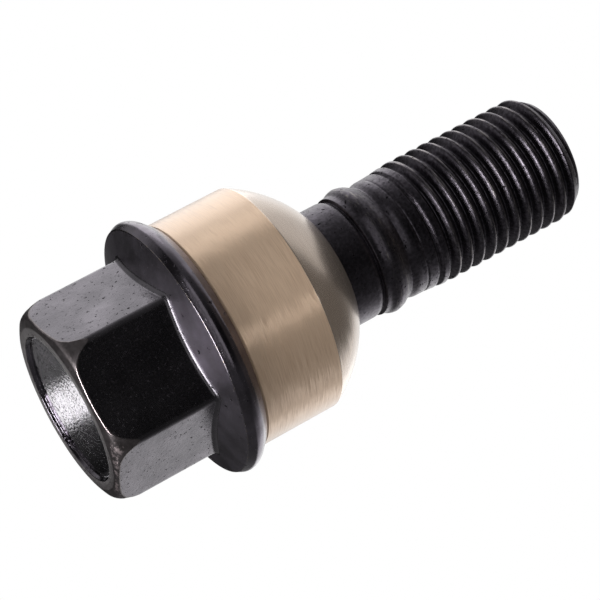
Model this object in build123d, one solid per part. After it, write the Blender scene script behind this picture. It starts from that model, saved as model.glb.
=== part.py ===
from build123d import *

import os
from math import cos, radians, sin, sqrt, tan

# Wheel bolt, in millimetres. It stands on its head: the head's end is at z = 0 and +Z runs up the axis to the
# thread's point. One flat of the hexagon faces -Y. The collar is a separate ring, loose on the shank.

# Hexagon head
HEX_ACROSS_FLATS = 19.0
HEX_CORNER_ROUND = 1.0
HEAD_HEIGHT = 15.35  # head's end to the flange's bearing face
END_LAND_INSET = 0.5  # flat of the hexagon to the outer edge of the end's land
END_CHAMFER_ANGLE = 19.0  # fall of the chamfer from the end's land, in degrees
END_CHAMFER_REACH = 0.4  # how far the chamfer runs past the flats before the corners fall away
CORNER_BEVEL_WIDTH = 0.55  # first bevel of the forged-off corners, on the radius
CORNER_BEVEL_ANGLE = 51.0  # its fall, in degrees
CORNER_TAPER_ANGLE = 77.0  # fall of the taper from that bevel to the corner's full radius, in degrees
END_LAND_WIDTH = 1.0  # land between the chamfer and the dish
DISH_WALL_DEPTH = 0.4
DISH_WALL_ANGLE = 50.0  # slope of the dish's wall, in degrees
DISH_BOTTOM_RISE = 0.15  # foot of the wall to the middle of the dish, along the axis
DISH_LIP_BEVEL = 0.16  # along the land and along the wall

# Flange
FLANGE_OVERHANG = 3.03  # hexagon's sharp corner to the flange's largest radius
FLANGE_CONE_ANGLE = 18.0  # slope of the flange's upper face, in degrees
RIM_BEVEL_INSET = 0.65  # edge of the coned face to the largest radius
RIM_BEVEL_HEIGHT = 0.9  # the same, along the axis
RIM_ROUND = 1.6  # from the largest radius towards the bearing face
RIM_ROUND_TURN = 45.0  # how far the round turns before the back bevel, in degrees
RIM_BACK_HEIGHT = 2.05  # largest radius to the bearing face, along the axis
HEAD_FILLET = 0.6  # between the hexagon and the coned face

# Shank and the bead that keeps the collar on
SHANK_DIAMETER = 13.1
SHANK_LENGTH = 17.7  # bearing face to the groove
SHANK_ROOT_BEVEL = 0.5  # between the bearing face and the shank, under the collar
GROOVE_FALL_LENGTH = 0.55  # shank's rounded-off end to the bottom of the groove
GROOVE_RISE_LENGTH = 0.15  # bottom of the groove to the bead's foot
GROOVE_DEPTH = 0.3
BEAD_FOOT_LENGTH = 0.65
BEAD_FOOT_STEP = 0.08  # bead's foot above the shank's radius
BEAD_RISE_LENGTH = 0.65
BEAD_SHOULDER_HEIGHT = 0.48  # above the shank's radius, as the next two are
BEAD_CREST_HEIGHT = 0.53
BEAD_BACK_HEIGHT = 0.36
BEAD_CREST_LENGTH = 0.4  # shoulder to crest
BEAD_BACK_LENGTH = 0.75  # crest to back
NECK_FALL_LENGTH = 0.9  # bead's back to the bottom of the neck
NECK_DEPTH = 0.24  # neck behind the bead, below the shank's radius
NECK_RISE_LENGTH = 0.7

# Thread, as its plain outside: M14 x 1.5
THREAD_DIAMETER = 14.0
THREAD_LENGTH = 17.25
RUN_OUT_LENGTH = 3.3  # rolled blank between the neck and the full thread
RUN_OUT_DEPTH = 0.42  # rolled blank below the thread's radius
RUN_OUT_RISE = 0.45
POINT_LENGTH = 1.5
POINT_INSET = 1.07  # thread's radius to the flat of the point

# Collar
BALL_RADIUS = 14.0
COLLAR_INSET = 1.54  # ball's radius to the collar's plain outside
COLLAR_PLAIN_LENGTH = 8.95
COLLAR_SEAT_GAP = 0.05  # running room between the bearing face and the collar
BORE_CLEARANCE = 0.1  # running room around the shank, on the radius
NOSE_FACE_WIDTH = 0.55  # flat ring at the end of the nose
REAR_EDGE_BREAK = 0.2
REAR_BORE_BREAK = 0.2  # room beyond the bevel at the shank's root

# Sizes that follow from those above
HEX_FLAT_RADIUS = HEX_ACROSS_FLATS / 2
HEX_CORNER_RADIUS = HEX_FLAT_RADIUS / cos(radians(30))
LAND_RADIUS = HEX_FLAT_RADIUS - END_LAND_INSET
DISH_RADIUS = LAND_RADIUS - END_LAND_WIDTH
FLANGE_RADIUS = HEX_CORNER_RADIUS + FLANGE_OVERHANG
FLANGE_RADIUS_Z = HEAD_HEIGHT - RIM_BACK_HEIGHT
RIM_EDGE_RADIUS = FLANGE_RADIUS - RIM_BEVEL_INSET
RIM_EDGE_Z = FLANGE_RADIUS_Z - RIM_BEVEL_HEIGHT
SHANK_RADIUS = SHANK_DIAMETER / 2
BORE_RADIUS = SHANK_RADIUS + BORE_CLEARANCE
COLLAR_REAR_Z = HEAD_HEIGHT + COLLAR_SEAT_GAP


def revolved(outline):
    """Solid turned about the axis from a closed outline of (radius, height) points."""
    return revolve(Plane.XZ * make_face(outline), Axis.Z)


def hexagon():
    """Hexagon with rounded corners, its end chamfered by a shallow cone and its corners forged off below that."""
    prism = extrude(RegularPolygon(HEX_FLAT_RADIUS, 6, major_radius=False), RIM_EDGE_Z)
    prism = fillet(prism.edges().filter_by(Axis.Z), HEX_CORNER_ROUND)
    reach = HEX_CORNER_RADIUS * 2
    chamfer_end_radius = HEX_FLAT_RADIUS + END_CHAMFER_REACH
    chamfer_end_z = (chamfer_end_radius - LAND_RADIUS) * tan(radians(END_CHAMFER_ANGLE))
    bevel_end_radius = chamfer_end_radius + CORNER_BEVEL_WIDTH
    bevel_end_z = chamfer_end_z + CORNER_BEVEL_WIDTH * tan(radians(CORNER_BEVEL_ANGLE))
    taper_end_z = bevel_end_z + (reach - bevel_end_radius) * tan(radians(CORNER_TAPER_ANGLE))
    envelope = revolved(
        Polyline(
            (0, 0),
            (LAND_RADIUS, 0),
            (chamfer_end_radius, chamfer_end_z),
            (bevel_end_radius, bevel_end_z),
            (reach, taper_end_z),
            (reach, RIM_EDGE_Z + taper_end_z),
            (0, RIM_EDGE_Z + taper_end_z),
            close=True,
        )
    )
    return prism & envelope


def flange_and_shank():
    """Everything on the bolt that is round, from the flange's cone to the flat of the point."""
    cone_apex_z = RIM_EDGE_Z - RIM_EDGE_RADIUS * tan(radians(FLANGE_CONE_ANGLE))
    cone_apex = (0, cone_apex_z)
    rim_crest = (FLANGE_RADIUS, FLANGE_RADIUS_Z)
    round_turn = radians(RIM_ROUND_TURN)
    round_inset = RIM_ROUND * (1 - cos(round_turn))
    round_height = RIM_ROUND * sin(round_turn)
    rim_back = (FLANGE_RADIUS - round_inset, FLANGE_RADIUS_Z + round_height)
    back_bevel_inset = (RIM_BACK_HEIGHT - round_height) * tan(round_turn)
    bearing_radius = FLANGE_RADIUS - round_inset - back_bevel_inset

    shank_end_z = HEAD_HEIGHT + SHANK_LENGTH
    groove_z = shank_end_z + GROOVE_FALL_LENGTH
    groove_end_z = groove_z + GROOVE_RISE_LENGTH

    foot_radius = SHANK_RADIUS + BEAD_FOOT_STEP
    bead_start_z = groove_end_z + BEAD_FOOT_LENGTH
    bead_shoulder = (SHANK_RADIUS + BEAD_SHOULDER_HEIGHT, bead_start_z + BEAD_RISE_LENGTH)
    bead_crest = (SHANK_RADIUS + BEAD_CREST_HEIGHT, bead_shoulder[1] + BEAD_CREST_LENGTH)
    bead_back = (SHANK_RADIUS + BEAD_BACK_HEIGHT, bead_crest[1] + BEAD_BACK_LENGTH)
    neck_z = bead_back[1] + NECK_FALL_LENGTH

    thread_radius = THREAD_DIAMETER / 2
    blank_radius = thread_radius - RUN_OUT_DEPTH
    blank_start_z = neck_z + NECK_RISE_LENGTH
    blank_end_z = blank_start_z + RUN_OUT_LENGTH
    thread_start_z = blank_end_z + RUN_OUT_RISE
    thread_end_z = thread_start_z + THREAD_LENGTH
    point_radius = thread_radius - POINT_INSET

    outline = [
        Polyline(cone_apex, (RIM_EDGE_RADIUS, RIM_EDGE_Z), rim_crest),
        TangentArc(rim_crest, rim_back, tangent=(0, 1)),
        Polyline(
            rim_back,
            (bearing_radius, HEAD_HEIGHT),
            (SHANK_RADIUS + SHANK_ROOT_BEVEL, HEAD_HEIGHT),
            (SHANK_RADIUS, HEAD_HEIGHT + SHANK_ROOT_BEVEL),
            (SHANK_RADIUS, shank_end_z),
            (SHANK_RADIUS - GROOVE_DEPTH, groove_z),
            (foot_radius, groove_end_z),
            (foot_radius, bead_start_z),
            bead_shoulder,
            bead_crest,
            bead_back,
            (SHANK_RADIUS - NECK_DEPTH, neck_z),
            (blank_radius, blank_start_z),
            (blank_radius, blank_end_z),
            (thread_radius, thread_start_z),
            (thread_radius, thread_end_z - POINT_LENGTH),
            (point_radius, thread_end_z),
            (0, thread_end_z),
            cone_apex,
        ),
    ]
    return revolved(outline)


def dish():
    """Hollow in the head's end: a short steep wall round a nearly flat bottom."""
    wall_angle = radians(DISH_WALL_ANGLE)
    lip_start = (DISH_RADIUS + DISH_LIP_BEVEL, 0)
    lip_end = (DISH_RADIUS - DISH_LIP_BEVEL * cos(wall_angle), DISH_LIP_BEVEL * sin(wall_angle))
    wall_foot = (DISH_RADIUS - DISH_WALL_DEPTH / tan(wall_angle), DISH_WALL_DEPTH)
    middle = (0, DISH_WALL_DEPTH + DISH_BOTTOM_RISE)
    outline = [
        TangentArc(middle, wall_foot, tangent=(1, 0)),
        Polyline(wall_foot, lip_end, lip_start, (0, 0), middle),
    ]
    return revolved(outline)


def bolt():
    """Forged and rolled bolt in one piece."""
    head = hexagon()
    turned = flange_and_shank()
    whole = head + turned
    whole = fillet(new_edges(head, turned, combined=whole), HEAD_FILLET)
    return whole - dish()


def ball_seat_collar():
    """Turned ring with a plain outside and a ball-shaped nose, bored to run on the shank."""
    collar_radius = BALL_RADIUS - COLLAR_INSET
    plain_end_z = COLLAR_REAR_Z + COLLAR_PLAIN_LENGTH
    ball_centre_z = plain_end_z - sqrt(BALL_RADIUS**2 - collar_radius**2)
    nose_radius = BORE_RADIUS + NOSE_FACE_WIDTH
    nose_z = ball_centre_z + sqrt(BALL_RADIUS**2 - nose_radius**2)
    rear_break = SHANK_ROOT_BEVEL + REAR_BORE_BREAK

    plain_end = (collar_radius, plain_end_z)
    nose_end = (nose_radius, nose_z)
    outline = [
        Polyline(
            nose_end,
            (BORE_RADIUS, nose_z),
            (BORE_RADIUS, COLLAR_REAR_Z + rear_break),
            (BORE_RADIUS + rear_break, COLLAR_REAR_Z),
            (collar_radius - REAR_EDGE_BREAK, COLLAR_REAR_Z),
            (collar_radius, COLLAR_REAR_Z + REAR_EDGE_BREAK),
            plain_end,
        ),
        RadiusArc(plain_end, nose_end, -BALL_RADIUS),
    ]
    return revolved(outline)


def main():
    os.makedirs("parts", exist_ok=True)
    pieces = {"bolt": bolt(), "ball_seat_collar": ball_seat_collar()}
    for name, piece in pieces.items():
        export_step(piece, os.path.join("parts", f"{name}.step"))


if __name__ == "__main__":
    main()
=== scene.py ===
import logging
import math
from dataclasses import dataclass, field
from enum import IntEnum
from typing import Any, Optional, Sequence, Union

import bpy
import numpy as np
from mathutils import Matrix, Vector


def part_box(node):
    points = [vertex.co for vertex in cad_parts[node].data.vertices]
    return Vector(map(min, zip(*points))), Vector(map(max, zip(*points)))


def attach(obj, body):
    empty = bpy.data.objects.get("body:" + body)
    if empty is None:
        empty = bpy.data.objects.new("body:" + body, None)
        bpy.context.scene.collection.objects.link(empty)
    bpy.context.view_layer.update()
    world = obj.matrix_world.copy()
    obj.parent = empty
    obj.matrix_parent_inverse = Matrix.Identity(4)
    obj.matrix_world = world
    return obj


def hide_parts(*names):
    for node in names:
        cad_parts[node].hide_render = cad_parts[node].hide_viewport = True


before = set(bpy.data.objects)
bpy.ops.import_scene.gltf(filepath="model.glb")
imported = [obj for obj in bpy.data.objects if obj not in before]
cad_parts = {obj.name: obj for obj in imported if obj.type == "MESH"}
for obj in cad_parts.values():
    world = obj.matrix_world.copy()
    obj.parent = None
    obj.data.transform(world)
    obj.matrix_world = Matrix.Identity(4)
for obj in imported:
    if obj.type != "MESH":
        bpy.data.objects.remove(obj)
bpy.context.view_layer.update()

log = logging.getLogger("wheel_bolt")

MM = 0.001  # one millimetre, in metres

# Numbers that may differ from column to column of a skin
Numbers = Union[float, np.ndarray]

# A point of an outline: radius and height in millimetres
Place = tuple[Numbers, Numbers]

# Sockets of a colour mix, which share their names with those of its other data types
MIX_FACTOR = 0
MIX_A = 6
MIX_B = 7
MIX_RESULT = 2

# Levels of the noise patterns, which run from 0 to 1
PATCH_LEVELS = (0.38, 0.66)  # where a patch starts and where it is full
PIT_EDGE = 0.04  # width of a pit's edge, either way
FLECK_REACH = 0.75  # how far full wear lifts the flecks
FLECK_LEVELS = (0.82, 1.0)  # where steel starts to show and where it is bare
LINE_LEVELS = (0.3, 0.6)  # a turned line's valley and its top
LEAN_LEVELS = (0.3, 0.7)  # the lines that lean most, one way and the other

PIT_DEPTH = 1.5  # depth of a pit, as a share of the grain's height
QUARTER_TURN = 0.25  # sets a highlight's long side across the tangent, which runs round the axis
ROUND_OFF = 1e-9  # slack for a sum that should come out even
WHITE = "#ffffff"
DAYLIGHT = "#e6f0ff"  # the cool light of windows at both sides


def linear(colour: str) -> tuple[float, float, float, float]:
    """Turn an sRGB hex colour to linear light.

    Args:
        colour: The colour, written as #rrggbb.

    Returns:
        Red, green, blue and an alpha of 1.
    """
    parts = [int(colour[start:start + 2], 16) / 255 for start in (1, 3, 5)]
    lit = [part / 12.92 if part <= 0.04045 else ((part + 0.055) / 1.055) ** 2.4 for part in parts]
    return (*lit, 1.0)


def per_mm(size: float) -> float:
    """Return the texture scale that repeats a pattern about once in this many millimetres."""
    return 1.0 / (size * MM)


def add_node(
    tree: bpy.types.NodeTree,
    kind: str,
    inputs: Optional[dict[Union[str, int], Any]] = None,
    stops: Sequence[tuple[float, str]] = (),
    **settings: Any,
) -> bpy.types.Node:
    """Add one node with its settings and links.

    Args:
        tree: The node tree that gets the node.
        kind: Blender's name for the kind of node.
        inputs: Socket name or number, and the value that it holds or the output that it is linked from.
        stops: Position and hex colour of each stop, for a node with a colour ramp.
        settings: Properties of the node.

    Returns:
        The new node.
    """
    node = tree.nodes.new(kind)
    for name, value in settings.items():
        setattr(node, name, value)
    for key, value in (inputs or {}).items():
        if isinstance(value, bpy.types.NodeSocket):
            tree.links.new(value, node.inputs[key])
        else:
            node.inputs[key].default_value = value
    if stops:
        ramp = node.color_ramp
        while len(ramp.elements) < len(stops):
            ramp.elements.new(1.0)
        for element, (position, colour) in zip(ramp.elements, stops):
            element.position = position
            element.color = linear(colour)
    return node


def new_material(name: str) -> bpy.types.Material:
    """Add a material.

    Args:
        name: Name of the material.

    Returns:
        A material with an empty node tree.
    """
    material = bpy.data.materials.new(name)
    material.use_nodes = True
    material.node_tree.nodes.clear()
    return material


def smooth_step(value: Numbers, low: float, high: float) -> Numbers:
    """Return 0 below low, 1 above high and a smooth rise between them."""
    share = np.clip((value - low) / (high - low), 0.0, 1.0)
    return share * share * (3.0 - 2.0 * share)


def soft_positive(value: Numbers, softness: float) -> Numbers:
    """Return the value where it is well above 0, 0 where it is well below, and a round between them."""
    return (value + np.sqrt(value**2 + softness**2)) / 2


def span(start: Place, end: Place, shares: Sequence[float]) -> list[Place]:
    """Return the places that lie at these shares of the way from start to end."""
    return [tuple(a + (b - a) * share for a, b in zip(start, end)) for share in shares]


def arc(centre: Place, radius: float, start: float, end: float, steps: int) -> list[Place]:
    """Walk along an arc of an outline.

    Args:
        centre: Centre of the arc.
        radius: Its radius in millimetres.
        start: Direction of its first point, in degrees from the radius towards the height.
        end: Direction of its last point.
        steps: Number of spans.

    Returns:
        The places along the arc, both ends included.
    """
    turns = np.radians(np.linspace(start, end, steps + 1))
    return [(centre[0] + radius * math.cos(turn), centre[1] + radius * math.sin(turn)) for turn in turns]


def towards(start: Place, end: Place, reach: float) -> Place:
    """Return the place that lies this many millimetres from start, on the way to end."""
    length = np.hypot(end[0] - start[0], end[1] - start[1])
    return span(start, end, [reach / length])[0]


def soft_corner(before: Place, corner: Place, after: Place, reach: float, steps: int = 4) -> list[Place]:
    """Round one corner of an outline.

    Args:
        before: The outline's point ahead of the corner.
        corner: The corner itself.
        after: The outline's point behind the corner.
        reach: Length of each side that the round takes, in millimetres.
        steps: Number of spans.

    Returns:
        The places along the round, from one side to the other.
    """
    first = towards(corner, before, reach)
    last = towards(corner, after, reach)
    places = []
    for share in np.linspace(0.0, 1.0, steps + 1):
        weights = ((1 - share) ** 2, 2 * share * (1 - share), share**2)
        points = (first, corner, last)
        places.append(tuple(sum(w * p[axis] for w, p in zip(weights, points)) for axis in (0, 1)))
    return places


class Zone(IntEnum):
    """Finishes of the bolt, in the order of its material slots."""

    DISH = 0
    LAND = 1
    FLATS = 2
    CONE = 3
    RIM = 4
    SHANK = 5
    THREAD = 6


class Turned(IntEnum):
    """Finishes of the collar, in the order of its material slots."""

    PLAIN = 0
    BALL = 1


@dataclass
class Skin:
    """A closed skin woven from rings about the bolt's axis.

    Attributes:
        azimuths: Direction of each column, in radians from +X about +Z.
        radii: Radius of each ring at each column, in millimetres.
        heights: Height of each ring at each column, in millimetres.
        wear: How worn each ring is at each column, from 0 to 1.
        finishes: Material slot of the band that starts at each ring.
    """

    azimuths: np.ndarray
    radii: list[np.ndarray] = field(default_factory=list)
    heights: list[np.ndarray] = field(default_factory=list)
    wear: list[np.ndarray] = field(default_factory=list)
    finishes: list[int] = field(default_factory=list)

    def add(
        self, places: Sequence[Place], finish: int, wear: Union[Numbers, Sequence[Numbers]] = 0.0
    ) -> None:
        """Add rings to the skin.

        Args:
            places: Radius and height of each ring.
            finish: Material slot of the bands that start at these rings.
            wear: How worn the rings are, one value for all or one for each ring.
        """
        levels = wear if isinstance(wear, (list, tuple)) else [wear] * len(places)
        whole = np.ones_like(self.azimuths)
        for (radius, height), level in zip(places, levels):
            self.radii.append(radius * whole)
            self.heights.append(height * whole)
            self.wear.append(level * whole)
            self.finishes.append(int(finish))

    def build(self, name: str, materials: Sequence[bpy.types.Material], loop: bool) -> bpy.types.Object:
        """Weave the rings into a watertight mesh.

        Args:
            name: Name of the piece.
            materials: Its materials, by slot.
            loop: True if the last ring joins the first, False if a point on the axis closes each end.

        Returns:
            The new object.
        """
        columns = len(self.azimuths)
        radii = np.array(self.radii)
        heights = np.array(self.heights)
        points = np.stack([radii * np.cos(self.azimuths), radii * np.sin(self.azimuths), heights], axis=-1)
        points = points.reshape(-1, 3)
        wear = np.array(self.wear).ravel()
        rings = len(self.radii)

        numbers = np.arange(rings * columns).reshape(rings, columns)
        lower = numbers if loop else numbers[:-1]
        upper = np.roll(numbers, -1, axis=0) if loop else numbers[1:]
        quads = np.stack([lower, np.roll(lower, -1, 1), np.roll(upper, -1, 1), upper], axis=-1)
        faces = quads.reshape(-1, 4).tolist()
        slots = np.repeat(self.finishes if loop else self.finishes[:-1], columns).tolist()
        if not loop:
            ends = [(0.0, 0.0, heights[0].mean()), (0.0, 0.0, heights[-1].mean())]
            points = np.vstack([points, ends])
            wear = np.append(wear, [0.0, 0.0])
            first, last = numbers[0], numbers[-1]
            start_pole, end_pole = rings * columns, rings * columns + 1
            faces += np.stack([np.full(columns, start_pole), np.roll(first, -1), first], axis=-1).tolist()
            faces += np.stack([last, np.roll(last, -1), np.full(columns, end_pole)], axis=-1).tolist()
            slots += [self.finishes[0]] * columns + [self.finishes[-1]] * columns

        mesh = bpy.data.meshes.new(name)
        mesh.from_pydata((points * MM).tolist(), [], faces)
        mesh.polygons.foreach_set("material_index", slots)
        mesh.polygons.foreach_set("use_smooth", [True] * len(faces))
        mesh.attributes.new("wear", "FLOAT", "POINT").data.foreach_set("value", wear.astype(np.float32))
        for material in materials:
            mesh.materials.append(material)
        mesh.update()
        piece = bpy.data.objects.new(name, mesh)
        bpy.context.scene.collection.objects.link(piece)
        shading = piece.modifiers.new("flat_faces", "WEIGHTED_NORMAL")
        shading.mode = "FACE_AREA"
        log.info("%s: %d points, %d faces", name, len(mesh.vertices), len(mesh.polygons))
        return piece


@dataclass(frozen=True)
class BlackOxide:
    """Black conversion coating on steel, as it comes from the bath over a forged, turned or rolled surface.

    The coating is a skin a thousandth of a millimetre thin, so the eye gets a dark metal mirror with the
    grain of the steel under it, mottled by the bath, dotted with pits, and rubbed through to bare steel along
    the edges.

    Attributes:
        name: Name of the material.
        coat: Colour of the coating.
        mottle: Colour of the patches where the bath took less.
        pit: Colour of the pits, darker than the coating as painted shade in the recesses.
        pit_roughness: How much rougher the pits are than the coating.
        bare: Colour of the steel that shows where the coating is worn.
        roughness: Roughness of the coating.
        roughness_swing: How far the grain takes the roughness either way.
        grain_mm: Size of the grain.
        grain_height_mm: Height of the grain.
        mottle_mm: Size of the patches.
        pit_mm: Distance between the pits.
        pit_share: Level of the pit pattern above which there is a pit, lower for more of them.
        wear_mm: Size of the flecks along a worn edge.
        streak: How much longer flecks and rolling marks are round the axis than along it.
        marks: Height of the marks that rolls or a tool leave round the axis, as a share of the grain's.
        waves: Height of the broad waves that a forging die leaves, one to a patch, as a share of the grain's.
    """

    name: str
    coat: str = "#6d686f"
    mottle: str = "#86808a"
    pit: str = "#1d1b1e"
    pit_roughness: float = 0.4
    bare: str = "#f2eae8"
    roughness: float = 0.32
    roughness_swing: float = 0.08
    grain_mm: float = 0.25
    grain_height_mm: float = 0.008
    mottle_mm: float = 2.5
    pit_mm: float = 0.7
    pit_share: float = 0.66
    wear_mm: float = 0.5
    streak: float = 1.0
    marks: float = 0.0
    waves: float = 0.0

    def material(self) -> bpy.types.Material:
        """Make the finish's nodes.

        Returns:
            A material that reads the mesh's wear.
        """
        material = new_material(self.name)
        tree = material.node_tree
        place = add_node(tree, "ShaderNodeTexCoord").outputs["Object"]
        grain = add_node(
            tree, "ShaderNodeTexNoise", {"Vector": place, "Scale": per_mm(self.grain_mm), "Detail": 3.0}
        ).outputs["Fac"]
        patches = add_node(
            tree, "ShaderNodeTexNoise", {"Vector": place, "Scale": per_mm(self.mottle_mm), "Detail": 5.0}
        ).outputs["Fac"]
        patch = add_node(
            tree, "ShaderNodeMapRange",
            {"Value": patches, "From Min": PATCH_LEVELS[0], "From Max": PATCH_LEVELS[1]},
        ).outputs["Result"]
        dots = add_node(
            tree, "ShaderNodeTexNoise",
            {"Vector": place, "Scale": per_mm(self.pit_mm), "Detail": 4.0, "Roughness": 0.7},
        ).outputs["Fac"]
        pit = add_node(
            tree, "ShaderNodeMapRange",
            {"Value": dots, "From Min": self.pit_share - PIT_EDGE, "From Max": self.pit_share + PIT_EDGE},
            interpolation_type="SMOOTHSTEP",
        ).outputs["Result"]
        worn = add_node(tree, "ShaderNodeAttribute", attribute_name="wear").outputs["Fac"]
        streaked = add_node(
            tree, "ShaderNodeMapping", {"Vector": place, "Scale": (1 / self.streak, 1 / self.streak, 1.0)}
        ).outputs["Vector"]
        flecks = add_node(
            tree, "ShaderNodeTexNoise",
            {"Vector": streaked, "Scale": per_mm(self.wear_mm), "Detail": 4.0, "Roughness": 0.65},
        ).outputs["Fac"]
        flecked = add_node(
            tree, "ShaderNodeMath", {0: worn, 1: FLECK_REACH, 2: flecks}, operation="MULTIPLY_ADD"
        ).outputs["Value"]
        rubbed = add_node(
            tree, "ShaderNodeMapRange",
            {"Value": flecked, "From Min": FLECK_LEVELS[0], "From Max": FLECK_LEVELS[1]},
            interpolation_type="SMOOTHSTEP",
        ).outputs["Result"]

        coated = add_node(
            tree, "ShaderNodeMix",
            {MIX_FACTOR: patch, MIX_A: linear(self.coat), MIX_B: linear(self.mottle)}, data_type="RGBA",
        ).outputs[MIX_RESULT]
        # Painted shade: the pits take the darker pit colour, standing in for the shade inside the recesses.
        pitted = add_node(
            tree, "ShaderNodeMix",
            {MIX_FACTOR: pit, MIX_A: coated, MIX_B: linear(self.pit)}, data_type="RGBA",
        ).outputs[MIX_RESULT]
        colour = add_node(
            tree, "ShaderNodeMix",
            {MIX_FACTOR: rubbed, MIX_A: pitted, MIX_B: linear(self.bare)}, data_type="RGBA",
        ).outputs[MIX_RESULT]
        roughness = add_node(
            tree, "ShaderNodeMapRange",
            {
                "Value": grain,
                "To Min": self.roughness - self.roughness_swing,
                "To Max": self.roughness + self.roughness_swing,
            },
        ).outputs["Result"]
        # Painted shade: in the pits the edge tint dims towards the pit colour, darkening their reflection at
        # a glancing view.
        pit_shade_tint = add_node(
            tree, "ShaderNodeMix",
            {MIX_FACTOR: pit, MIX_A: linear(WHITE), MIX_B: linear(self.pit)}, data_type="RGBA",
        ).outputs[MIX_RESULT]
        dulled = add_node(
            tree, "ShaderNodeMath", {0: pit, 1: self.pit_roughness, 2: roughness}, operation="MULTIPLY_ADD"
        ).outputs["Value"]
        marked = add_node(
            tree, "ShaderNodeMath", {0: flecks, 1: self.marks, 2: grain}, operation="MULTIPLY_ADD"
        ).outputs["Value"]
        waved = add_node(
            tree, "ShaderNodeMath", {0: patches, 1: self.waves, 2: marked}, operation="MULTIPLY_ADD"
        ).outputs["Value"]
        relief = add_node(
            tree, "ShaderNodeMath", {0: pit, 1: -PIT_DEPTH, 2: waved}, operation="MULTIPLY_ADD"
        ).outputs["Value"]
        normal = add_node(
            tree, "ShaderNodeBump", {"Height": relief, "Distance": self.grain_height_mm * MM}
        ).outputs["Normal"]
        steel = add_node(
            tree, "ShaderNodeBsdfPrincipled",
            {
                "Base Color": colour, "Metallic": 1.0, "Roughness": dulled, "Normal": normal,
                "Specular Tint": pit_shade_tint,
            },
        ).outputs["BSDF"]
        add_node(tree, "ShaderNodeOutputMaterial", {"Surface": steel})
        return material


@dataclass(frozen=True)
class TurnedPlating:
    """Thin warm plating over a steel surface that was turned on a lathe.

    The tool leaves fine lines round the axis. They spread each highlight along the axis and keep it narrow
    round the collar, so the eye sees bright and dark bands that run from end to end.

    Attributes:
        name: Name of the material.
        plating: Colour of the plating.
        shade: Colour in the lines' valleys, a painted shade darker than the plating.
        metallic: How much of the light the plating mirrors. The lines' torn edges scatter the rest.
        roughness: Roughness of the surface.
        spread: How much further highlights spread across the lines than along them, from 0 to 1.
        line_mm: Distance between the lines, drawn coarser than a lathe's real feed so that they show.
        line_height_mm: Height of the lines.
        line_length_mm: Length after which a line fades into another.
        line_tilt: How far single lines lean round the axis, as a slope, which frays the bands' ends.
        lacquer: Share of the surface under a clear passivation film, which whitens it at a glancing view.
        lacquer_roughness: Roughness of that film.
    """

    name: str
    plating: str = "#dfc3a8"
    shade: str = "#cbad92"
    metallic: float = 0.65
    roughness: float = 0.38
    spread: float = 0.85
    line_mm: float = 0.09
    line_height_mm: float = 0.002
    line_length_mm: float = 2.5
    line_tilt: float = 0.11
    lacquer: float = 0.7
    lacquer_roughness: float = 0.3

    def material(self) -> bpy.types.Material:
        """Make the finish's nodes.

        Returns:
            The finish as a material.
        """
        material = new_material(self.name)
        tree = material.node_tree
        place = add_node(tree, "ShaderNodeTexCoord").outputs["Object"]
        along, across = per_mm(self.line_length_mm), per_mm(self.line_mm)
        stretched = add_node(
            tree, "ShaderNodeMapping", {"Vector": place, "Scale": (along, along, across)}
        ).outputs["Vector"]
        lines = add_node(
            tree, "ShaderNodeTexNoise", {"Vector": stretched, "Scale": 1.0, "Detail": 3.0, "Roughness": 0.6}
        ).outputs["Fac"]
        # Painted shade: where the noise is low, in a line's valley, the colour darkens towards the shade
        # colour.
        depth = add_node(
            tree, "ShaderNodeMapRange",
            {"Value": lines, "From Min": LINE_LEVELS[0], "From Max": LINE_LEVELS[1]},
        ).outputs["Result"]
        colour = add_node(
            tree, "ShaderNodeMix",
            {MIX_FACTOR: depth, MIX_A: linear(self.shade), MIX_B: linear(self.plating)}, data_type="RGBA",
        ).outputs[MIX_RESULT]
        tangent = add_node(tree, "ShaderNodeTangent", direction_type="RADIAL", axis="Z").outputs["Tangent"]
        lean = add_node(
            tree, "ShaderNodeMapRange",
            {
                "Value": lines, "From Min": LEAN_LEVELS[0], "From Max": LEAN_LEVELS[1],
                "To Min": -self.line_tilt, "To Max": self.line_tilt,
            },
        ).outputs["Result"]
        lent = add_node(
            tree, "ShaderNodeVectorMath", {0: tangent, "Scale": lean}, operation="SCALE"
        ).outputs["Vector"]
        ridged = add_node(
            tree, "ShaderNodeBump", {"Height": lines, "Distance": self.line_height_mm * MM}
        ).outputs["Normal"]
        tilted = add_node(
            tree, "ShaderNodeVectorMath", {0: ridged, 1: lent}, operation="ADD"
        ).outputs["Vector"]
        normal = add_node(tree, "ShaderNodeVectorMath", {0: tilted}, operation="NORMALIZE").outputs["Vector"]
        metal = add_node(
            tree, "ShaderNodeBsdfPrincipled",
            {
                "Base Color": colour, "Metallic": self.metallic, "Roughness": self.roughness,
                "Anisotropic": self.spread, "Anisotropic Rotation": QUARTER_TURN,
                "Normal": normal, "Tangent": tangent,
                "Coat Weight": self.lacquer, "Coat Roughness": self.lacquer_roughness,
            },
        ).outputs["BSDF"]
        add_node(tree, "ShaderNodeOutputMaterial", {"Surface": metal})
        return material


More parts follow.
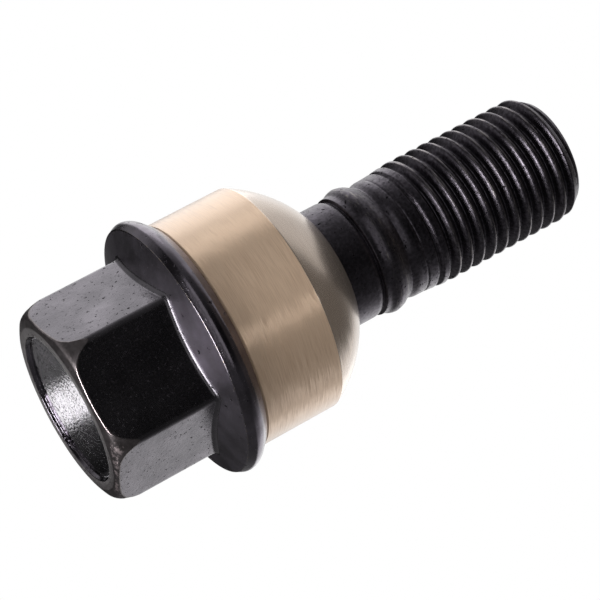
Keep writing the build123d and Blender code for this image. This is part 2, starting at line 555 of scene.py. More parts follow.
BOLT_FINISHES = {
    Zone.DISH: BlackOxide(
        "black_oxide_forged_dish", pit="#0c0b0c", pit_roughness=0.02, roughness=0.05, roughness_swing=0.02,
        grain_mm=0.3, grain_height_mm=0.006, pit_mm=0.26, pit_share=0.6,
    ),
    Zone.LAND: BlackOxide(
        "black_oxide_worn_land", coat="#706a6b", mottle="#857e80", bare="#ead9db", roughness=0.36,
        mottle_mm=0.8,
    ),
    Zone.FLATS: BlackOxide(
        "black_oxide_forged_flats", coat="#636065", mottle="#78747a", bare="#ecdfe1", roughness=0.26,
        mottle_mm=3.5, pit_mm=0.4, pit_share=0.65, waves=7.0,
    ),
    Zone.CONE: BlackOxide("black_oxide_forged_cone", roughness=0.36),
    Zone.RIM: BlackOxide("black_oxide_forged_rim", bare="#90867f", roughness=0.2),
    Zone.SHANK: BlackOxide(
        "black_oxide_turned_shank", coat="#524e54", mottle="#68636b", bare="#888380", roughness=0.35,
        grain_height_mm=0.012, mottle_mm=0.35, pit_mm=0.4, pit_share=0.64, wear_mm=0.2, streak=8.0, marks=0.6,
    ),
    Zone.THREAD: BlackOxide(
        "black_oxide_rolled_thread", coat="#48444a", mottle="#68636b", bare="#8f898a", roughness=0.32,
        grain_height_mm=0.012, mottle_mm=0.35, pit_mm=0.4, pit_share=0.64, wear_mm=0.16, streak=12.0,
        marks=0.6,
    ),
}

COLLAR_FINISHES = {
    Turned.PLAIN: TurnedPlating("warm_plating_turned"),
    Turned.BALL: TurnedPlating(
        "warm_plating_polished", plating="#d6c6b8", shade="#ccbbac", metallic=0.9, roughness=0.24, spread=0.3,
        line_height_mm=0.001, line_tilt=0.03,
    ),
}


@dataclass
class Head:
    """Forged head: hexagon with a chamfered, dished end that grows out of a coned flange.

    Sizes are in millimetres. A softness is the length of each side that an edge's round takes. Wear runs from
    0 for an even coating to 1 for bare steel, and shares place rings along a face.
    """

    flange_radius: float
    flat_radius: float = 9.5
    corner_round: float = 1.0
    land_radius: float = 9.0
    chamfer_angle: float = 19.0
    corner_fall: tuple[Place, Place, Place] = ((9.9, 0.31), (10.6, 0.75), (10.82, 2.7))
    dish_radius: float = 8.0
    dish_wall_depth: float = 0.4
    dish_wall_angle: float = 62.0
    dish_rise: float = 0.04
    dish_foot_softness: float = 0.12
    dish_lip_softness: float = 0.1
    cone_angle: float = 18.0
    fillet: float = 0.6
    rim_edge: Place = (13.6, 12.48)
    crest_height: float = 13.3
    rim_round: float = 1.6
    rim_turn: float = 45.0
    bearing_height: float = 15.35
    cone_run: float = 2.0
    land_softness: float = 0.08
    edge_softness: float = 0.1
    rim_softness: float = 0.09
    crest_softness: float = 0.25
    bearing_softness: float = 0.2
    plain_wear: float = 0.1
    lip_wear: tuple[float, ...] = (0.0, 0.1, 0.15, 0.2, 0.15, 0.1, 0.1)
    land_edge_wear: float = 0.15
    end_edge_wear: tuple[float, ...] = (0.5, 1.0, 0.6, 0.1, 0.0)
    edge_wear_fade: tuple[float, float] = (16.0, 29.0)
    flat_wear: tuple[float, ...] = (0.5, 0.35, 0.7, 0.4, 1.0, 0.5)
    scuff_azimuth: float = -35.0
    scuff_width: float = 80.0
    scuff_wear: float = 0.42
    cone_edge_wear: tuple[float, ...] = (0.0, 0.3)
    rim_edge_wear: tuple[float, ...] = (0.25, 0.42, 0.52, 0.42, 0.2)
    bevel_wear: tuple[float, ...] = (0.28, 0.3)
    crest_wear: float = 0.15
    flat_spans: int = 26
    corner_spans: int = 8
    round_spans: int = 3
    lip_spans: int = 6
    fillet_spans: int = 8
    rim_spans: int = 8
    dish_rings: int = 22
    land_shares: tuple[float, ...] = (0.5, 0.85)
    chamfer_shares: tuple[float, ...] = (0.3, 0.5, 0.6, 0.7, 0.78)
    below_edge: tuple[float, ...] = (0.2, 0.4)
    flat_shares: tuple[float, ...] = (0.3, 0.5, 0.7, 0.9)
    cone_shares: tuple[float, ...] = (0.5, 0.75)
    before_rim: tuple[float, ...] = (0.5, 0.25)
    bevel_shares: tuple[float, ...] = (0.35, 0.6)

    def columns(self) -> np.ndarray:
        """Place the skin's columns, close together at the hexagon's corners.

        Returns:
            Their directions, in radians from +X about +Z.
        """
        half_flat = (self.flat_radius - self.corner_round) * math.tan(math.radians(30))
        tangent = math.degrees(math.atan2(half_flat, self.flat_radius))
        over_flat = np.linspace(-tangent, tangent, self.flat_spans + 1)
        over_corner = np.linspace(tangent, 60 - tangent, self.corner_spans + 1)[1:-1]
        sector = np.concatenate([over_flat, over_corner])
        first_flat = -90.0
        return np.radians(np.concatenate([first_flat + 60 * flat + sector for flat in range(6)]))

    def hexagon(self, azimuths: np.ndarray) -> np.ndarray:
        """Measure the hexagon with its rounded corners.

        Args:
            azimuths: The directions, in radians from +X about +Z.

        Returns:
            The hexagon's radius in each direction.
        """
        from_flat = azimuths % math.radians(60) - math.radians(30)
        from_corner = math.radians(30) - np.abs(from_flat)
        flat = self.flat_radius / np.cos(from_flat)
        inner = (self.flat_radius - self.corner_round) / math.cos(math.radians(30))
        reach = np.clip(self.corner_round**2 - (inner * np.sin(from_corner)) ** 2, 0.0, None)
        corner = inner * np.cos(from_corner) + np.sqrt(reach)
        half_flat = inner * math.sin(math.radians(30)) + ROUND_OFF
        on_flat = self.flat_radius * np.abs(np.tan(from_flat)) <= half_flat
        return np.where(on_flat, flat, corner)

    def end_height(self, radius: np.ndarray) -> np.ndarray:
        """Measure the end's chamfer, which falls off in a curve towards the corners.

        Args:
            radius: Distances from the axis.

        Returns:
            The chamfer's height at each distance.
        """
        start, bend, end = self.corner_fall
        chamfer = (radius - self.land_radius) * math.tan(math.radians(self.chamfer_angle))
        second = start[0] - 2 * bend[0] + end[0]
        first = 2 * (bend[0] - start[0])
        rest = np.clip(first**2 - 4 * second * (start[0] - radius), 0.0, None)
        share = (np.sqrt(rest) - first) / (2 * second)
        fall = (1 - share) ** 2 * start[1] + 2 * share * (1 - share) * bend[1] + share**2 * end[1]
        return np.where(radius <= start[0], chamfer, fall)

    def edge_wear(self, azimuths: np.ndarray) -> np.ndarray:
        """Spread the wear of the end's edge: only on the flats, and on some more.

        Args:
            azimuths: The directions, in radians from +X about +Z.

        Returns:
            How worn the edge is in each direction, from 0 to 1.
        """
        flat = np.floor(azimuths / math.radians(60)).astype(int) % 6
        from_flat = np.abs(azimuths % math.radians(60) - math.radians(30))
        middle = 1.0 - smooth_step(from_flat, *np.radians(self.edge_wear_fade))
        strength = np.array(self.flat_wear)[flat]
        return strength * middle

    def scuff(self, azimuths: np.ndarray) -> np.ndarray:
        """Return how scuffed the end's chamfer is in each direction, for it took knocks on one stretch."""
        away = np.abs((np.degrees(azimuths) - self.scuff_azimuth + 180.0) % 360.0 - 180.0)
        return 1.0 - smooth_step(away, self.scuff_width / 4, self.scuff_width / 2)

    def weave(self, skin: Skin) -> None:
        """Add the head's rings to the skin, from the dish's middle to the bearing face.

        Args:
            skin: The bolt's skin.
        """
        self.weave_end(skin)
        self.weave_sides(skin)
        self.weave_rim(skin)

    def weave_end(self, skin: Skin) -> None:
        """Add the dish with its short steep wall, its rounded lip and the flat land round it.

        Args:
            skin: The bolt's skin.
        """
        foot_radius = self.dish_radius - self.dish_wall_depth / math.tan(math.radians(self.dish_wall_angle))
        wall_foot = (foot_radius, self.dish_wall_depth)
        mouth = (self.dish_radius, 0.0)
        ball = (foot_radius**2 + self.dish_rise**2) / (2 * self.dish_rise)
        ball_centre = (0.0, self.dish_wall_depth + self.dish_rise - ball)
        foot_turn = math.degrees(math.acos(foot_radius / ball))
        land_edge = (self.land_radius, 0.0)
        first_turn = 90 - (90 - foot_turn) / self.dish_rings
        bottom = arc(ball_centre, ball, first_turn, foot_turn, self.dish_rings - 1)
        foot = soft_corner(bottom[-3], wall_foot, mouth, self.dish_foot_softness, self.lip_spans)
        lip = soft_corner(wall_foot, mouth, land_edge, self.dish_lip_softness, self.lip_spans)
        half = self.lip_spans // 2
        skin.add(bottom[:-2], Zone.DISH)
        skin.add(foot, Zone.DISH)
        skin.add(lip[:half], Zone.DISH, self.lip_wear[:half])
        skin.add(lip[half:], Zone.LAND, self.lip_wear[half:])
        skin.add(span(lip[-1], land_edge, self.land_shares), Zone.LAND, self.plain_wear)

    def weave_sides(self, skin: Skin) -> None:
        """Add the end's chamfer, the six flats and the fillet at their foot.

        Args:
            skin: The bolt's skin.
        """
        hexagon = self.hexagon(skin.azimuths)
        worn = self.edge_wear(skin.azimuths)
        cone_slope = math.tan(math.radians(self.cone_angle))
        land_edge = (self.land_radius, 0.0)
        end_edge = (hexagon, self.end_height(hexagon))
        cone_foot = (hexagon, self.rim_edge[1] - (self.rim_edge[0] - hexagon) * cone_slope)
        land_start = (self.dish_radius, 0.0)
        chamfer_end = (hexagon, (hexagon - self.land_radius) * math.tan(math.radians(self.chamfer_angle)))
        land_round = soft_corner(land_start, land_edge, chamfer_end, self.land_softness, self.round_spans)
        skin.add(land_round, Zone.LAND, self.land_edge_wear)
        scuffed = self.plain_wear + self.scuff_wear * self.scuff(skin.azimuths)
        for share in self.chamfer_shares:
            radius = self.land_radius + (hexagon - self.land_radius) * share
            skin.add([(radius, self.end_height(radius))], Zone.LAND, scuffed)
        inside = hexagon - 2 * self.edge_softness
        edge = soft_corner((inside, self.end_height(inside)), end_edge, cone_foot, self.edge_softness)
        skin.add(edge, Zone.LAND, [level * worn for level in self.end_edge_wear])
        skin.add([towards(end_edge, cone_foot, reach) for reach in self.below_edge], Zone.FLATS)
        skin.add(span(end_edge, cone_foot, self.flat_shares), Zone.FLATS)

        tangent = self.fillet * math.tan(math.radians(45 - self.cone_angle / 2))
        fillet_start = towards(cone_foot, end_edge, tangent)
        fillet_centre = (fillet_start[0] + self.fillet, fillet_start[1])
        fillet = arc(fillet_centre, self.fillet, 180, 90 + self.cone_angle, self.fillet_spans)
        skin.add(fillet[:-1], Zone.FLATS)
        skin.add(fillet[-1:], Zone.CONE)
        skin.add(span(cone_foot, self.rim_edge, self.cone_shares), Zone.CONE)

    def weave_rim(self, skin: Skin) -> None:
        """Add the flange's worn edge, its rim and the bearing face under the collar.

        Args:
            skin: The bolt's skin.
        """
        crest = (self.flange_radius, self.crest_height)
        turn = math.radians(self.rim_turn)
        round_centre = (self.flange_radius - self.rim_round, self.crest_height)
        rim = arc(round_centre, self.rim_round, 0, self.rim_turn, self.rim_spans)
        back_inset = (self.bearing_height - rim[-1][1]) * math.tan(turn)
        bearing_edge = (rim[-1][0] - back_inset, self.bearing_height)
        cone_slope = math.tan(math.radians(self.cone_angle))
        cone_start = (self.rim_edge[0] - self.cone_run, self.rim_edge[1] - self.cone_run * cone_slope)
        cone_edge = [towards(self.rim_edge, cone_start, reach) for reach in self.before_rim]
        edge = soft_corner(cone_start, self.rim_edge, crest, self.rim_softness)
        bevel = span(self.rim_edge, crest, self.bevel_shares)
        crest_round = soft_corner(self.rim_edge, crest, rim[2], self.crest_softness, self.round_spans)
        bearing_middle = (0.0, self.bearing_height)
        bearing_round = soft_corner(
            rim[-1], bearing_edge, bearing_middle, self.bearing_softness, self.round_spans
        )
        skin.add(cone_edge, Zone.CONE, self.cone_edge_wear)
        skin.add(edge, Zone.RIM, self.rim_edge_wear)
        skin.add(bevel, Zone.RIM, self.bevel_wear)
        skin.add(crest_round, Zone.RIM, self.crest_wear)
        skin.add(rim[3:], Zone.RIM)
        skin.add(bearing_round, Zone.RIM)


@dataclass
class Shank:
    """Plain shank with the bead that keeps the collar on. Sizes in millimetres."""

    radius: float = 6.55
    start: float = 15.35
    root_bevel: float = 0.5
    end: float = 33.15
    groove: Place = (6.27, 33.72)
    foot: Place = (6.66, 33.86)
    foot_end: float = 34.4
    shoulder: Place = (7.03, 35.05)
    crest: Place = (7.08, 35.45)
    back: Place = (6.92, 36.15)
    neck: Place = (6.3, 37.1)
    bearing_run: float = 3.0
    foot_flare: float = 0.04
    neck_rise: float = 0.8
    blank_end: float = 2.0
    bead_wear: float = 0.4
    plain_wear: float = 0.1

    def weave(self, skin: Skin, blank_radius: float) -> None:
        """Add the shank's rings to the skin.

        Args:
            skin: The bolt's skin.
            blank_radius: Radius of the rolled blank that follows the neck.
        """
        # Each corner with its softness, the length of each side that its round takes
        outline = [
            ((self.radius + self.bearing_run, self.start), 0.0),
            ((self.radius + self.root_bevel, self.start), 0.1),
            ((self.radius, self.start + self.root_bevel), 0.1),
            ((self.radius, self.end), 0.3),
            (self.groove, 0.06),
            (self.foot, 0.07),
            ((self.foot[0] + self.foot_flare, self.foot_end), 0.25),
            (self.shoulder, 0.28),
            (self.crest, 0.11),
            (self.back, 0.3),
            (self.neck, 0.15),
            ((blank_radius, self.neck[1] + self.neck_rise), 0.3),
            ((blank_radius, self.neck[1] + self.blank_end), 0.0),
        ]
        bead = (self.shoulder, self.crest, self.back)
        for (before, _), (corner, softness), (after, _) in zip(outline, outline[1:], outline[2:]):
            wear = self.bead_wear if corner in bead else self.plain_wear
            skin.add(soft_corner(before, corner, after, softness), Zone.SHANK, wear)


@dataclass
class Thread:
    """Rolled right-hand thread with its run-out and chamfered point. Sizes in millimetres."""

    end: float
    radius: float = 7.0
    pitch: float = 1.5
    depth: float = 0.92
    crest_width: float = 0.32
    flank_angle: float = 30.0
    crest_softness: float = 0.24
    root_softness: float = 0.16
    blank_radius: float = 6.62
    start: float = 38.3
    run_out: tuple[float, float] = (38.3, 43.2)
    groove_lift: float = 0.41
    groove_softness: float = 0.05
    point_length: float = 1.5
    point_inset: float = 1.07
    point_softness: float = 0.08
    first_crest: float = 0.89
    crest_wear: float = 0.5
    wear_depth: float = 0.35
    rings_per_turn: int = 18
    point_spans: int = 3
    point_shares: tuple[float, ...] = (0.3, 0.95)

    def radius_at(self, azimuths: np.ndarray, height: float) -> np.ndarray:
        """Measure the thread at one height.

        Args:
            azimuths: The directions, in radians from +X about +Z.
            height: The height.

        Returns:
            The thread's radius in each direction.
        """
        turns = (height - self.first_crest) / self.pitch - azimuths / math.tau
        from_crest = np.abs((turns + 0.5) % 1.0 - 0.5) * self.pitch
        fall = (from_crest - self.crest_width / 2) / math.tan(math.radians(self.flank_angle))
        below_crest = soft_positive(fall, self.crest_softness)
        depth = self.depth - soft_positive(self.depth - below_crest, self.root_softness)
        formed = smooth_step(height, *self.run_out)
        skin_radius = self.blank_radius + formed * (self.radius - self.blank_radius)
        die_radius = self.radius - depth + depth.min() + (1.0 - formed) * self.groove_lift
        rolled = skin_radius - soft_positive(skin_radius - die_radius, self.groove_softness)
        point_slope = self.point_inset / self.point_length
        cut = self.radius - self.point_inset + (self.end - height) * point_slope
        return np.minimum(rolled, cut)

    def weave(self, skin: Skin) -> None:
        """Add the thread's rings to the skin, from the run-out to the flat of the point.

        Args:
            skin: The bolt's skin.
        """
        step = self.pitch / self.rings_per_turn
        count = round((self.end - self.start) / step)
        for height in np.linspace(self.start, self.end, count + 1)[:-1]:
            radius = self.radius_at(skin.azimuths, height)
            wear = self.crest_wear * smooth_step(radius, self.radius - self.wear_depth, self.radius)
            skin.add([(radius, height)], Zone.THREAD, wear)
        chamfer_start = (self.radius, self.end - self.point_length)
        edge = (self.radius - self.point_inset, self.end)
        middle = (0.0, self.end)
        skin.add(soft_corner(chamfer_start, edge, middle, self.point_softness, self.point_spans), Zone.THREAD)
        skin.add(span(edge, middle, self.point_shares), Zone.THREAD)


@dataclass
class Bolt:
    """The forged and rolled bolt, one skin from the dish to the point."""

    head: Head
    shank: Shank
    thread: Thread

    def build(self) -> bpy.types.Object:
        """Build the bolt's skin, dress it and let it stand for its solid.

        Returns:
            The dressed bolt.
        """
        skin = Skin(self.head.columns())
        self.head.weave(skin)
        self.shank.weave(skin, self.thread.blank_radius)
        self.thread.weave(skin)
        materials = [BOLT_FINISHES[zone].material() for zone in Zone]
        piece = skin.build("forged_bolt", materials, loop=False)
        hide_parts("bolt")
        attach(piece, "bolt")
        return piece


@dataclass
class Collar:
    """Turned collar with a ball-shaped nose, loose on the shank. Sizes in millimetres."""

    radius: float
    start: float
    end: float
    ball_radius: float = 14.0
    plain_length: float = 8.95
    bore_radius: float = 6.65
    nose_width: float = 0.55
    edge_break: float = 0.2
    bore_break: float = 0.7
    outer_softness: float = 0.06
    bore_softness: float = 0.1
    columns: int = 256
    ball_spans: int = 40
    round_spans: int = 3
    plain_shares: tuple[float, ...] = (0.33, 0.66)

    def build(self) -> bpy.types.Object:
        """Build the collar's skin, dress it and let it stand for its solid.

        Returns:
            The dressed collar.
        """
        skin = Skin(np.linspace(0.0, math.tau, self.columns, endpoint=False))
        plain_end = (self.radius, self.start + self.plain_length)
        nose_end = (self.bore_radius + self.nose_width, self.end)
        ball_centre = (0.0, plain_end[1] - math.sqrt(self.ball_radius**2 - self.radius**2))
        first_turn = math.degrees(math.asin((plain_end[1] - ball_centre[1]) / self.ball_radius))
        last_turn = math.degrees(math.acos(nose_end[0] / self.ball_radius))
        ball = arc(ball_centre, self.ball_radius, first_turn, last_turn, self.ball_spans)
        bore_end = (self.bore_radius, self.end)
        bore_start = (self.bore_radius, self.start + self.bore_break)
        rear_inner = (self.bore_radius + self.bore_break, self.start)
        rear_outer = (self.radius - self.edge_break, self.start)
        plain_start = (self.radius, self.start + self.edge_break)

        outer = (self.outer_softness, self.round_spans)
        inner = (self.bore_softness, self.round_spans)
        skin.add(soft_corner(rear_inner, rear_outer, plain_start, *outer), Turned.PLAIN)
        skin.add(soft_corner(rear_outer, plain_start, plain_end, *outer), Turned.PLAIN)
        skin.add(span(plain_start, plain_end, self.plain_shares), Turned.PLAIN)
        skin.add(soft_corner(plain_start, plain_end, ball[1], *outer), Turned.BALL)
        skin.add(ball[1:-1], Turned.BALL)
        skin.add(soft_corner(ball[-2], nose_end, bore_end, *inner), Turned.BALL)
        skin.add(soft_corner(nose_end, bore_end, bore_start, *inner), Turned.PLAIN)
        skin.add(soft_corner(bore_end, bore_start, rear_inner, *inner), Turned.PLAIN)
        skin.add(soft_corner(bore_start, rear_inner, rear_outer, *inner), Turned.PLAIN)
        materials = [COLLAR_FINISHES[zone].material() for zone in Turned]
        piece = skin.build("turned_collar", materials, loop=True)
        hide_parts("ball_seat_collar")
        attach(piece, "collar")
        return piece


def outward(azimuth: float, elevation: float) -> Vector:
    """Return the direction at this azimuth from -Y towards +X and this elevation, both in degrees."""
    turn, rise = math.radians(azimuth), math.radians(elevation)
    return Vector((math.sin(turn) * math.cos(rise), -math.cos(turn) * math.cos(rise), math.sin(rise)))


@dataclass(frozen=True)
class SoftBox:
    """A studio softbox that faces the middle of the bolt.

    Attributes:
        name: Name of the lamp.
        azimuth: Where it stands, in degrees from -Y towards +X.
        elevation: How high it stands, in degrees.
        width: Its width in millimetres.
        height: Its height in millimetres.
        radiance: How bright its face is, where 1 is white.
        distance: Its distance from the bolt in millimetres.
        mirrored: False if metal doesn't mirror the lamp, which then only lifts what scatters light.
        flagged: True if light linking keeps the lamp off everything but the collar.
        tint: Colour of its light.
    """

    name: str
    azimuth: float
    elevation: float
    width: float
    height: float
    radiance: float
    distance: float = 400.0
    mirrored: bool = True
    flagged: bool = False
    tint: str = WHITE

    def build(self, aim: Vector, collar: bpy.types.Collection) -> None:
        """Place the softbox.

        Args:
            aim: The point that it faces.
            collar: What a flagged lamp lights.
        """
        light = bpy.data.lights.new(self.name, "AREA")
        light.shape = "RECTANGLE"
        light.size = self.width * MM
        light.size_y = self.height * MM
        light.energy = self.radiance * math.pi * light.size * light.size_y
        light.color = linear(self.tint)[:3]
        lamp = bpy.data.objects.new(self.name, light)
        direction = outward(self.azimuth, self.elevation)
        lamp.location = aim + direction * self.distance * MM
        lamp.rotation_mode = "QUATERNION"
        lamp.rotation_quaternion = direction.to_track_quat("Z", "Y")
        lamp.visible_camera = False
        lamp.visible_glossy = self.mirrored
        if self.flagged:
            lamp.light_linking.receiver_collection = collar
        bpy.context.scene.collection.objects.link(lamp)


@dataclass
class Studio:
    """Pale studio with a one-way floor, soft boxes and the photograph's camera.

    Attributes:
        middle: The point that the lamps face, in millimetres.
        aim: The point that the camera looks at, in millimetres.
        distance: The camera's distance from that point in millimetres.
        azimuth: Where the camera stands, in degrees from -Y towards +X.
        elevation: How high it stands, in degrees, which is below the floor.
        roll: How far it is turned about its own line of sight, in degrees.
        lens: Focal length in millimetres, for the sensor's width.
        sensor: Width of the sensor in millimetres.
        clip: Nearest and furthest distance that the camera shows, in millimetres.
        floor_size: Width of the floor in millimetres.
        floor_fade: Shares of half that width where the floor starts to fade and where it has gone.
        paper: Colour of the floor.
        paper_lift: How much paler the floor looks to the eye than the lamps make it.
        wall_up: Azimuth and elevation of the room's own upright, which is tipped towards the front.
        wall_foot: Heights along that upright where the low band ends and the walls start, for a unit
            direction.
        ceiling_edge: Heights where the walls end and the high band starts.
        low_band: Colours of the room below the walls, each with its azimuth in degrees.
        wall_band: Colours of the walls.
        high_band: Colours of the room above the walls.
        scatter: Strength of the room's even light on what scatters it.
        boxes: The softboxes.
    """

    middle: tuple[float, float, float] = (0.0, 0.0, 27.0)
    aim: tuple[float, float, float] = (1.3727, 0.0217, 26.807)
    distance: float = 244.836
    azimuth: float = -3.09
    elevation: float = -19.02
    roll: float = 61.73
    lens: float = 144.0
    sensor: float = 36.0
    clip: tuple[float, float] = (10.0, 10000.0)
    floor_size: float = 900.0
    floor_fade: tuple[float, float] = (0.25, 0.95)
    paper: str = "#f2f1ef"
    paper_lift: float = 0.38
    wall_up: tuple[float, float] = (-20.0, 78.0)
    wall_foot: tuple[float, float] = (-0.08, 0.12)
    ceiling_edge: tuple[float, float] = (0.68, 0.84)
    low_band: tuple[tuple[float, str], ...] = (
        (-180.0, "#808080"),
        (-177.0, "#888888"),
        (-172.0, "#181818"),
        (-150.0, "#202020"),
        (-138.0, "#a8a8a8"),
        (-110.0, "#a8a8a8"),
        (-85.0, "#303030"),
        (0.0, "#2c2c2c"),
        (120.0, "#606060"),
        (146.0, "#6c6c6c"),
        (156.0, "#6c6c6c"),
        (163.0, "#141414"),
        (176.6, "#101010"),
        (178.0, "#808080"),
    )
    wall_band: tuple[tuple[float, str], ...] = (
        (-180.0, "#ffffff"),
        (-118.0, "#f8f8f8"),
        (-100.0, "#d0d0d0"),
        (-86.0, "#9c9c9c"),
        (-66.0, "#646464"),
        (-40.0, "#505050"),
        (-8.0, "#181818"),
        (18.0, "#181818"),
        (40.0, "#404040"),
        (66.0, "#404040"),
        (88.0, "#747474"),
        (105.0, "#b4b4b4"),
        (125.0, "#ffffff"),
        (180.0, "#ffffff"),
    )
    high_band: tuple[tuple[float, str], ...] = (
        (-180.0, "#d0d0d0"),
        (-90.0, "#d0d0d0"),
        (-50.0, "#585450"),
        (60.0, "#504c48"),
        (140.0, "#504c48"),
        (180.0, "#d0d0d0"),
    )
    scatter: float = 0.35
    boxes: tuple[SoftBox, ...] = (
        SoftBox("key_box", -25.0, 20.0, 500.0, 400.0, 1.2, mirrored=False),
        SoftBox("front_box", -12.0, -24.0, 600.0, 170.0, 0.5),
        SoftBox("under_box", 0.0, -74.0, 250.0, 150.0, 12.0),
        SoftBox("back_strip_box", 177.42, -17.5, 9.0, 120.0, 2.3),
        SoftBox("upper_side_box", -130.0, 20.0, 340.0, 240.0, 0.7),
        SoftBox("lower_side_box", 140.0, 22.0, 280.0, 200.0, 0.5),
        SoftBox("front_strip_box", 17.0, 18.0, 26.0, 300.0, 2.6, flagged=True),
        SoftBox("side_strip_box", 95.0, 18.0, 16.0, 300.0, 2.0, flagged=True, tint=DAYLIGHT),
        SoftBox("upper_flagged_box", -142.0, 20.0, 240.0, 300.0, 0.15, flagged=True, tint=DAYLIGHT),
        SoftBox("upper_fill_box", -112.0, 20.0, 240.0, 300.0, 0.28, flagged=True, tint=DAYLIGHT),
        SoftBox("upper_edge_box", -82.0, 18.0, 150.0, 300.0, 1.05, flagged=True),
    )

    def build(self, collar: bpy.types.Object) -> None:
        """Build the camera, the lamps, the world and the floor.

        Args:
            collar: The piece that the flagged lamps light.
        """
        self.build_camera()
        lit_alone = bpy.data.collections.new("lit_by_flagged_lamps")
        lit_alone.objects.link(collar)
        for box in self.boxes:
            box.build(Vector(self.middle) * MM, lit_alone)
        self.build_world()
        self.build_floor()
        bpy.context.scene.view_settings.view_transform = "Standard"

    def build_camera(self) -> None:
        """Place the camera at the photograph's viewing angle."""
        data = bpy.data.cameras.new("photo_camera")
        data.lens = self.lens
        data.sensor_width = self.sensor
        data.clip_start = self.clip[0] * MM
        data.clip_end = self.clip[1] * MM
        camera = bpy.data.objects.new("photo_camera", data)
        back = outward(self.azimuth, self.elevation)
        level = back.to_track_quat("Z", "Y").to_matrix().to_4x4()
        roll = Matrix.Rotation(math.radians(self.roll), 4, "Z")
        place = Matrix.Translation((Vector(self.aim) + back * self.distance) * MM)
        camera.matrix_world = place @ level @ roll
        bpy.context.scene.collection.objects.link(camera)
        bpy.context.scene.camera = camera

    def build_world(self) -> None:
        """Make the surroundings: white to the eye, and to the metal a white room that is dark in front."""
        world = bpy.data.worlds.new("studio")
        bpy.context.scene.world = world
        world.use_nodes = True
        tree = world.node_tree
        tree.nodes.clear()
        direction = add_node(tree, "ShaderNodeTexCoord").outputs["Generated"]
        parts = add_node(tree, "ShaderNodeSeparateXYZ", {"Vector": direction})
        forward = add_node(
            tree, "ShaderNodeMath", {0: parts.outputs["Y"], 1: -1.0}, operation="MULTIPLY"
        ).outputs["Value"]
        turn = add_node(
            tree, "ShaderNodeMath", {0: parts.outputs["X"], 1: forward}, operation="ARCTAN2"
        ).outputs["Value"]
        share = add_node(
            tree, "ShaderNodeMapRange", {"Value": turn, "From Min": -math.pi, "From Max": math.pi}
        ).outputs["Result"]
        low, sides, high = [
            add_node(
                tree, "ShaderNodeValToRGB", {"Fac": share},
                stops=[(0.5 + azimuth / 360, colour) for azimuth, colour in band],
            ).outputs["Color"]
            for band in (self.low_band, self.wall_band, self.high_band)
        ]
        tipped = add_node(
            tree, "ShaderNodeVectorMath", {0: direction, 1: outward(*self.wall_up)}, operation="DOT_PRODUCT"
        ).outputs["Value"]
        above_foot = add_node(
            tree, "ShaderNodeMapRange",
            {"Value": tipped, "From Min": self.wall_foot[0], "From Max": self.wall_foot[1]},
            interpolation_type="SMOOTHSTEP",
        ).outputs["Result"]
        above_walls = add_node(
            tree, "ShaderNodeMapRange",
            {"Value": parts.outputs["Z"], "From Min": self.ceiling_edge[0], "From Max": self.ceiling_edge[1]},
            interpolation_type="SMOOTHSTEP",
        ).outputs["Result"]
        standing = add_node(
            tree, "ShaderNodeMix", {MIX_FACTOR: above_foot, MIX_A: low, MIX_B: sides}, data_type="RGBA"
        ).outputs[MIX_RESULT]
        room = add_node(
            tree, "ShaderNodeMix", {MIX_FACTOR: above_walls, MIX_A: standing, MIX_B: high}, data_type="RGBA"
        ).outputs[MIX_RESULT]
        rays = add_node(tree, "ShaderNodeLightPath")
        seen = add_node(
            tree, "ShaderNodeMath",
            {0: rays.outputs["Is Glossy Ray"], 1: rays.outputs["Is Transmission Ray"]}, operation="MAXIMUM",
        ).outputs["Value"]
        diffuse = add_node(tree, "ShaderNodeBackground", {"Color": linear(WHITE), "Strength": self.scatter})
        mirrored = add_node(tree, "ShaderNodeBackground", {"Color": room, "Strength": 1.0})
        white = add_node(tree, "ShaderNodeBackground", {"Color": linear(WHITE), "Strength": 1.0})
        lit = add_node(
            tree, "ShaderNodeMixShader",
            {0: seen, 1: diffuse.outputs["Background"], 2: mirrored.outputs["Background"]},
        )
        shown = add_node(
            tree, "ShaderNodeMixShader",
            {0: rays.outputs["Is Camera Ray"], 1: lit.outputs["Shader"], 2: white.outputs["Background"]},
        )
        add_node(tree, "ShaderNodeOutputWorld", {"Surface": shown.outputs["Shader"]})

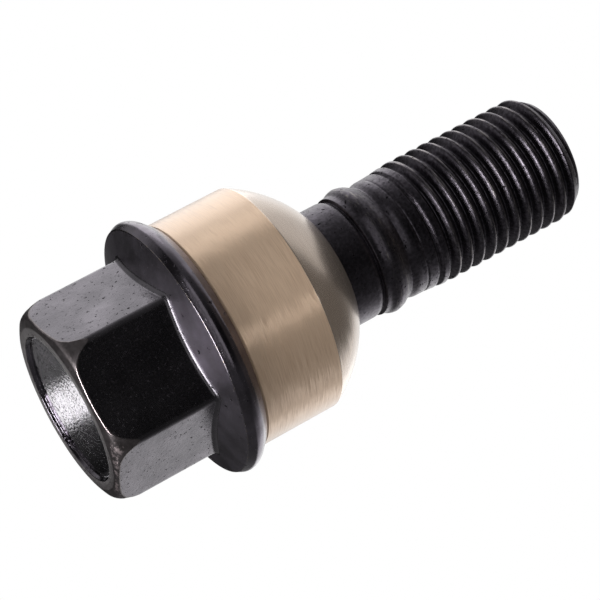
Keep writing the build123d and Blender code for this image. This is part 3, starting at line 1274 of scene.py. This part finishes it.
    def build_floor(self) -> None:
        """Lay the floor, which only the eye above it sees, so that the camera can look up from below."""
        half = self.floor_size / 2 * MM
        mesh = bpy.data.meshes.new("floor")
        corners = [(-half, -half, 0), (half, -half, 0), (half, half, 0), (-half, half, 0)]
        mesh.from_pydata(corners, [], [(0, 1, 2, 3)])
        floor = bpy.data.objects.new("floor", mesh)
        bpy.context.scene.collection.objects.link(floor)
        material = new_material("pale_paper_floor")
        tree = material.node_tree
        place = add_node(tree, "ShaderNodeTexCoord").outputs["Object"]
        reach = add_node(tree, "ShaderNodeVectorMath", {0: place}, operation="LENGTH").outputs["Value"]
        fading = add_node(
            tree, "ShaderNodeMapRange",
            {"Value": reach, "From Min": half * self.floor_fade[0], "From Max": half * self.floor_fade[1]},
            interpolation_type="SMOOTHSTEP",
        ).outputs["Result"]
        under = add_node(tree, "ShaderNodeNewGeometry").outputs["Backfacing"]
        clear = add_node(tree, "ShaderNodeMath", {0: fading, 1: under}, operation="MAXIMUM").outputs["Value"]
        paper = add_node(tree, "ShaderNodeBsdfDiffuse", {"Color": linear(self.paper)})
        watched = add_node(tree, "ShaderNodeLightPath").outputs["Is Camera Ray"]
        lift = add_node(
            tree, "ShaderNodeMath", {0: watched, 1: self.paper_lift}, operation="MULTIPLY"
        ).outputs["Value"]
        glow = add_node(tree, "ShaderNodeEmission", {"Color": linear(self.paper), "Strength": lift})
        pale = add_node(
            tree, "ShaderNodeAddShader", {0: paper.outputs["BSDF"], 1: glow.outputs["Emission"]}
        )
        air = add_node(tree, "ShaderNodeBsdfTransparent")
        surface = add_node(
            tree, "ShaderNodeMixShader", {0: clear, 1: pale.outputs["Shader"], 2: air.outputs["BSDF"]}
        )
        add_node(tree, "ShaderNodeOutputMaterial", {"Surface": surface.outputs["Shader"]})
        mesh.materials.append(material)
        floor.visible_glossy = False
        floor.visible_transmission = False
        floor.visible_shadow = False


def main() -> None:
    """Build the bolt, its collar and the studio in order."""
    logging.basicConfig(level=logging.INFO, format="%(name)s: %(message)s")
    bolt_box = [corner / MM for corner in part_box("bolt")]
    collar_box = [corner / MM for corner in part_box("ball_seat_collar")]
    bolt = Bolt(Head(flange_radius=bolt_box[1].x), Shank(), Thread(end=bolt_box[1].z))
    collar = Collar(radius=collar_box[1].x, start=collar_box[0].z, end=collar_box[1].z)
    pieces = [bolt.build(), collar.build()]
    for piece in pieces:
        log.info("%s rides on its body", piece.name)
    Studio().build(pieces[-1])


if __name__ == "__main__":
    main()
